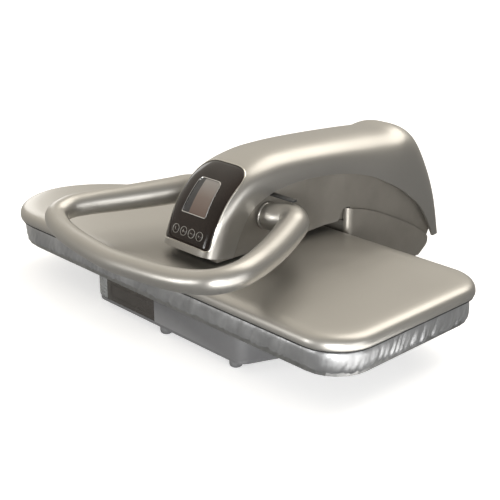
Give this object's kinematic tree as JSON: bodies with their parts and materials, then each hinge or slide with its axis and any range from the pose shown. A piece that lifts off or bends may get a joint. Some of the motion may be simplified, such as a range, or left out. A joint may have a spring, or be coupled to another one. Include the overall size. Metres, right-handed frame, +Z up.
{
  "type": "ironing press",
  "caption": "Tabletop ironing press, closed: padded board, heated upper plate on an arched hinged arm, loop handle, control panel and side water tank.",
  "frame": {"origin": "middle of the footprint at table level", "axes": "+Z up, +Y towards the hinge at the back, +X towards the square end of the board; the handle and panel face -Y"},
  "size_m": [0.655, 0.549, 0.2129],
  "materials": {
    "silver_paint": "satin silver paint",
    "plate_paint": "satin silver paint",
    "dark_paint": "satin",
    "grey_plastic": "matt",
    "black_plastic": "matt",
    "steel": "brushed",
    "aluminium": "satin",
    "metallised_cloth": "metallised",
    "felt": "felted",
    "rubber": "matt",
    "gloss_panel": "gloss",
    "chrome": "polished",
    "smoky_plastic": "clear smoky",
    "display_glass": "gloss",
    "circuit_board": "solder mask",
    "brass": "plain"
  },
  "bodies": {
    "base": {"base_housing": "grey_plastic", "base_bottom_cover": "grey_plastic", "foot_front_left": "grey_plastic", "foot_front_right": "grey_plastic", "foot_middle_left": "grey_plastic", "foot_middle_right": "grey_plastic", "foot_rear_left": "grey_plastic", "foot_rear_right": "grey_plastic", "board_tray": "steel", "board_pad": "felt", "board_cover": "metallised_cloth", "hinge_bracket_left": "steel", "hinge_bracket_right": "steel", "counter_spring_left": "steel", "counter_spring_right": "steel", "chassis_plate": "steel", "tower_housing": "dark_paint", "hinge_shaft": "steel", "water_pump": "black_plastic", "filter_cartridge": "felt", "tank_socket": "rubber", "power_board": "circuit_board", "mains_inlet": "black_plastic", "switch_frame": "black_plastic"},
    "arm": {"arm_top_cover": "silver_paint", "arm_lower_cover": "dark_paint", "arm_frame": "steel", "hinge_bush_left": "brass", "hinge_bush_right": "brass", "pivot_boss_left": "dark_paint", "pivot_boss_right": "dark_paint", "plate_pivot_pin": "steel", "control_panel": "gloss_panel", "display_bezel": "chrome", "display_window": "display_glass", "control_board": "circuit_board"},
    "handle": {"handle_loop": "silver_paint", "handle_shaft": "steel", "pressure_cam": "steel"},
    "plate": {"plate_shell": "plate_paint", "plate_seal": "rubber", "sole_plate": "aluminium", "heating_element": "steel", "steam_chamber_cover": "aluminium", "thermostat": "black_plastic", "plate_yoke": "steel"},
    "tank": {"water_tank": "smoky_plastic", "tank_end": "grey_plastic", "tank_valve": "rubber"},
    "catch": {"lock_tab": "black_plastic"},
    "rocker": {"power_switch": "black_plastic"},
    "key_1": {"key_1": "gloss_panel"},
    "key_2": {"key_2": "gloss_panel"},
    "key_3": {"key_3": "gloss_panel"},
    "key_4": {"key_4": "gloss_panel"}
  },
  "joints": [
    {"name": "arm_lift", "type": "hinge", "parent": "base", "child": "arm", "pos_m": [0.0355, 0.21623, 0.0776], "axis": [-1, 0, 0], "range_deg": [0, 42]},
    {"name": "plate_float", "type": "hinge", "parent": "arm", "child": "plate", "pos_m": [0.0355, -0.06477, 0.108], "axis": [1, 0, 0], "range_deg": [0, 1.3]},
    {"name": "handle_swing", "type": "hinge", "parent": "arm", "child": "handle", "pos_m": [0.0355, -0.05977, 0.141], "axis": [-1, 0, 0], "range_deg": [0, 25]},
    {"name": "tank_slide", "type": "slide", "parent": "base", "child": "tank", "axis": [-1, 0, 0], "range_m": [0, 0.13]},
    {"name": "catch_slide", "type": "slide", "parent": "arm", "child": "catch", "axis": [-1, 0, 0], "range_m": [0, 0.006], "stiffness_N_per_m": 150, "springref_m": -0.002},
    {"name": "switch_rock", "type": "hinge", "parent": "base", "child": "rocker", "pos_m": [0.1155, 0.05823, 0.0316], "axis": [1, 0, 0], "range_deg": [0, 12]},
    {"name": "key_1_press", "type": "slide", "parent": "arm", "child": "key_1", "axis": [0, 0.9209, -0.3899], "range_m": [0, 0.0006], "stiffness_N_per_m": 500, "springref_m": -0.0005},
    {"name": "key_2_press", "type": "slide", "parent": "arm", "child": "key_2", "axis": [0, 0.9209, -0.3899], "range_m": [0, 0.0006], "stiffness_N_per_m": 500, "springref_m": -0.0005},
    {"name": "key_3_press", "type": "slide", "parent": "arm", "child": "key_3", "axis": [0, 0.9209, -0.3899], "range_m": [0, 0.0006], "stiffness_N_per_m": 500, "springref_m": -0.0005},
    {"name": "key_4_press", "type": "slide", "parent": "arm", "child": "key_4", "axis": [0, 0.9209, -0.3899], "range_m": [0, 0.0006], "stiffness_N_per_m": 500, "springref_m": -0.0005}
  ],
  "couplings": [
    {"joint": "plate_float", "follows": "arm_lift", "ratio": 0.03}
  ]
}
